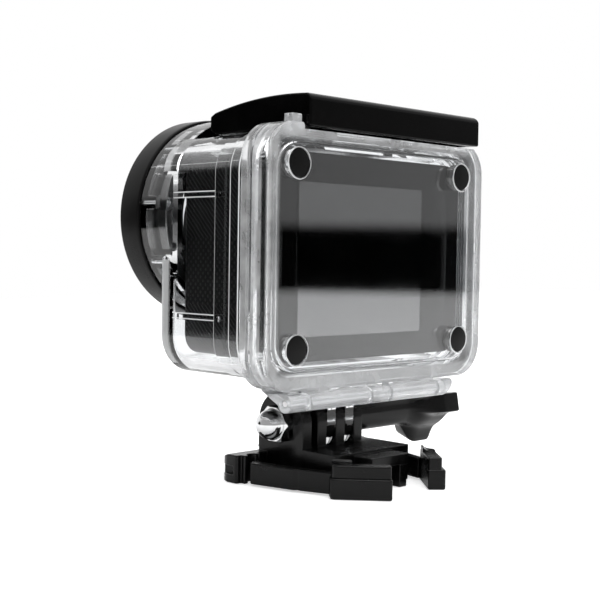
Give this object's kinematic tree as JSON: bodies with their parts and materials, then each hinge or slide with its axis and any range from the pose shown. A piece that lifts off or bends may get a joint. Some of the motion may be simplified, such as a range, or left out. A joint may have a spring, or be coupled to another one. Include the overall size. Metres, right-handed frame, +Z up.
{
  "type": "action camera in dive housing",
  "caption": "Small camera in a clear hinged dive housing with a top latch, round flat lens port and push buttons, tilting on a quick-release buckle held by a thumb screw.",
  "frame": {"origin": "Centre of the buckle's flat underside, straight below the tilt pivot.", "axes": "+Z up out of the underside; +Y towards the hinged door, -Y the way the lens looks; +X to the right seen from the lens side."},
  "size_m": [0.0811, 0.0621, 0.088],
  "materials": {
    "black_plastic": "moulded, fine satin texture",
    "black_gloss": "moulded, semi-gloss",
    "ring_black": "satin black anodised",
    "chrome": "polished plating",
    "steel": "plain stainless",
    "button_metal": "satin black",
    "clear_plastic": "clear moulded polycarbonate, polished",
    "port_glass": "flat clear glass",
    "seal_rubber": "black rubber",
    "door_seal": "grey silicone",
    "pad_rubber": "black rubber",
    "camera_body": "dark grey, dotted grip texture",
    "camera_bezel": "black, glossy",
    "screen_glass": "black glossy cover glass",
    "display": "dark, switched off",
    "lens_black": "matte black",
    "lens_glass": "coated",
    "sensor": "plain",
    "circuit_board": "green board",
    "aluminium": "bare sheet",
    "battery_wrap": "plain wrap",
    "camera_button": "grey moulded"
  },
  "bodies": {
    "buckle": {"buckle_base": "black_plastic", "acorn_nut": "chrome"},
    "right_arm": {"buckle_arm_right": "black_plastic"},
    "left_arm": {"buckle_arm_left": "black_plastic"},
    "thumb_screw": {"thumb_knob": "black_plastic", "thumb_bolt": "steel"},
    "housing": {"housing_shell": "clear_plastic", "port_ring": "ring_black", "port_glass": "port_glass", "port_seal": "seal_rubber", "port_baffle": "lens_black", "port_screws": "steel", "port_inserts": "steel", "latch_base": "black_gloss", "latch_pin": "steel", "shutter_spring": "steel", "shutter_seal": "seal_rubber", "mode_spring": "steel", "mode_seal": "seal_rubber", "hinge_pin": "steel", "camera_case": "camera_body", "camera_back": "camera_bezel", "camera_front_plate": "camera_bezel", "screen_glass": "screen_glass", "display_panel": "display", "lens_barrel": "lens_black", "lens_window": "lens_glass", "lens_front_element": "lens_glass", "lens_rear_element": "lens_glass", "image_sensor": "sensor", "sensor_board": "circuit_board", "main_board": "circuit_board", "heat_sink": "aluminium", "battery": "battery_wrap", "battery_door": "camera_body", "port_door": "camera_body", "memory_card": "sensor", "speaker": "sensor", "camera_screws": "steel"},
    "latch": {"latch_cap": "black_gloss"},
    "shutter_plunger": {"shutter_plunger": "button_metal", "shutter_clip": "steel"},
    "mode_plunger": {"mode_plunger": "button_metal", "mode_clip": "steel"},
    "door": {"door": "clear_plastic", "door_seal": "door_seal", "corner_pads": "pad_rubber"},
    "shutter_button": {"shutter_button": "camera_button"},
    "mode_button": {"mode_button": "camera_button"}
  },
  "joints": [
    {"name": "housing_tilt", "type": "hinge", "parent": "buckle", "child": "housing", "pos_m": [0, 0, 0.0138], "axis": [1, 0, 0], "range_deg": [-10, 45]},
    {"name": "door_hinge", "type": "hinge", "parent": "housing", "child": "door", "pos_m": [0, 0.02, 0.0218], "axis": [1, 0, 0], "range_deg": [-95, 0]},
    {"name": "latch_hinge", "type": "hinge", "parent": "housing", "child": "latch", "pos_m": [0.015, -0.0085, 0.0833], "axis": [1, 0, 0], "range_deg": [0, 100]},
    {"name": "thumb_turn", "type": "hinge", "parent": "buckle", "child": "thumb_screw", "pos_m": [0, 0, 0.0138], "axis": [1, 0, 0], "continuous": true},
    {"name": "right_arm_flex", "type": "hinge", "parent": "buckle", "child": "right_arm", "pos_m": [0.0182, -0.003, 0.003], "axis": [0, 0, 1], "range_deg": [0, 2.5], "stiffness_Nm_per_rad": 2, "springref_deg": -1.15},
    {"name": "left_arm_flex", "type": "hinge", "parent": "buckle", "child": "left_arm", "pos_m": [-0.0182, -0.003, 0.003], "axis": [0, 0, 1], "range_deg": [-2.5, 0], "stiffness_Nm_per_rad": 2, "springref_deg": 1.15},
    {"name": "shutter_press", "type": "slide", "parent": "housing", "child": "shutter_plunger", "axis": [0, 0, -1], "range_m": [0, 0.001], "stiffness_N_per_m": 400, "springref_m": -0.001, "deforming": ["shutter_spring"]},
    {"name": "mode_press", "type": "slide", "parent": "housing", "child": "mode_plunger", "axis": [0, 1, 0], "range_m": [0, 0.001], "stiffness_N_per_m": 400, "springref_m": -0.001, "deforming": ["mode_spring"]},
    {"name": "shutter_button_press", "type": "slide", "parent": "housing", "child": "shutter_button", "axis": [0, 0, -1], "range_m": [0, 0.001]},
    {"name": "mode_button_press", "type": "slide", "parent": "housing", "child": "mode_button", "axis": [0, 1, 0], "range_m": [0, 0.001]}
  ],
  "couplings": [
    {"joint": "shutter_button_press", "follows": "shutter_press", "ratio": 1},
    {"joint": "mode_button_press", "follows": "mode_press", "ratio": 1}
  ]
}
